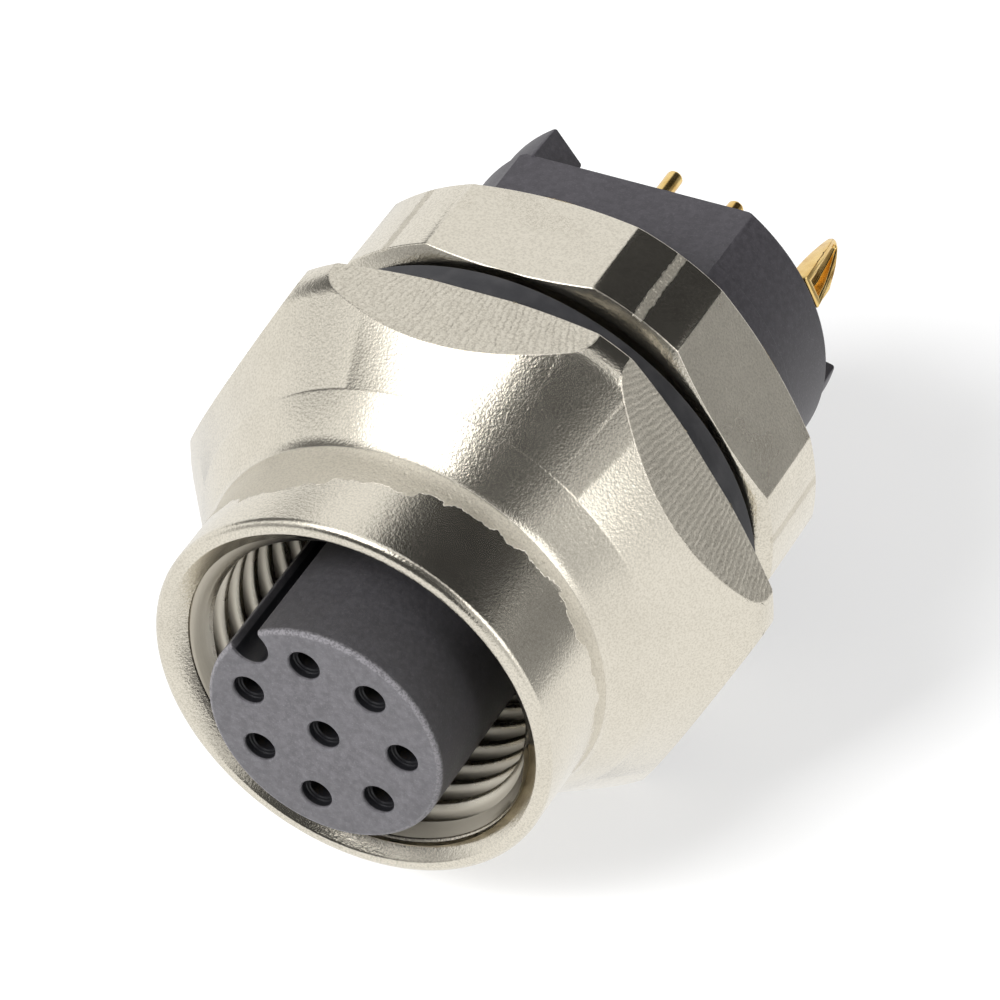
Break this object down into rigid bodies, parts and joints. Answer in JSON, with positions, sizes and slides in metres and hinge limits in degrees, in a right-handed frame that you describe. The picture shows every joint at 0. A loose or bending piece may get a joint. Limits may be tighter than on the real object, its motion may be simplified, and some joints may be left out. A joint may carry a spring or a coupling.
{
  "type": "m12 circular connector",
  "caption": "M12 circular socket connector for panel mounting: threaded metal housing, keyed contact insert, sealing ring, lock nut and straight solder tails for a circuit board.",
  "frame": {"origin": "on the connector's axis, in the plane of the panel seat behind the body", "axes": "+Y along the axis toward the solder tails, -Y out of the mating face, +Z square to the upper wrench flat"},
  "size_m": [0.0206, 0.0269, 0.0186],
  "materials": {
    "nickel": "nickel-plated brass, satin",
    "plastic": "glass-filled, matt",
    "rubber": "smooth rubber",
    "gold": "gold-plated"
  },
  "bodies": {
    "connector": {"housing": "nickel", "inner_seal": "rubber", "contact_insert": "plastic", "rear_carrier": "plastic", "shield_pin": "gold", "panel_seal": "rubber", "contact_1": "gold", "contact_2": "gold", "contact_3": "gold", "contact_4": "gold", "contact_5": "gold", "contact_6": "gold", "contact_7": "gold", "contact_8": "gold"},
    "nut": {"lock_nut": "nickel"}
  },
  "joints": [
    {"name": "nut_turn", "type": "hinge", "parent": "connector", "child": "nut", "pos_m": [0, 0.0041, 0], "axis": [0, 1, 0], "continuous": true}
  ]
}
